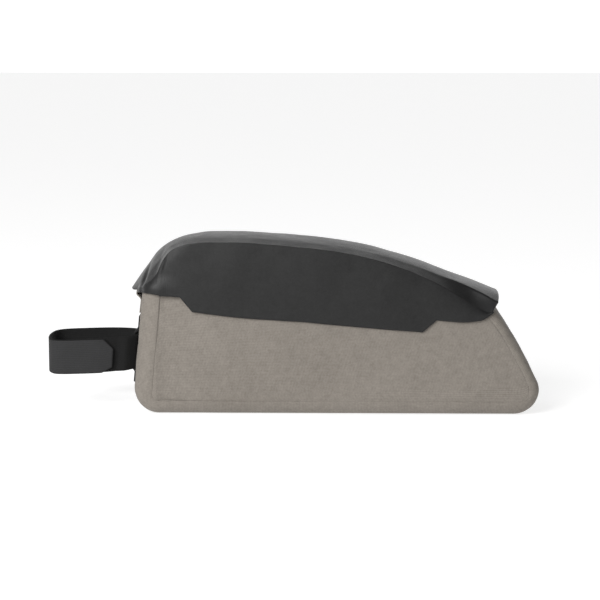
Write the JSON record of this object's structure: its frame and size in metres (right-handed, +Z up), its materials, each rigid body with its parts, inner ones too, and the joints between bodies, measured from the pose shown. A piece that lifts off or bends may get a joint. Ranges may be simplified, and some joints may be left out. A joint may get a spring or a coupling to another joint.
{
  "type": "bicycle frame bag",
  "caption": "Wedge-shaped bag for a bicycle's top tube, with a hooded fabric lid over a welded grey body and a black strap loop held on its front wall.",
  "frame": {"origin": "centre of the flat base's underside", "axes": "+X from the strap end (the bicycle's front) to the sloping rear end, +Z up, and the bag is the same on both sides of Y = 0 apart from its strap's closure"},
  "size_m": [0.2956, 0.0612, 0.1064],
  "materials": {
    "body_cloth": "coated woven polyester, matte",
    "lid_cloth": "coated fabric, faint sheen",
    "strap_webbing": "matte hook-and-loop webbing"
  },
  "bodies": {
    "root": {"gusset": "body_cloth", "side_panel_near": "body_cloth", "side_panel_far": "body_cloth", "lid": "lid_cloth", "hinge_strip": "body_cloth", "strap_keeper": "strap_webbing", "front_strap": "strap_webbing"}
  },
  "joints": []
}
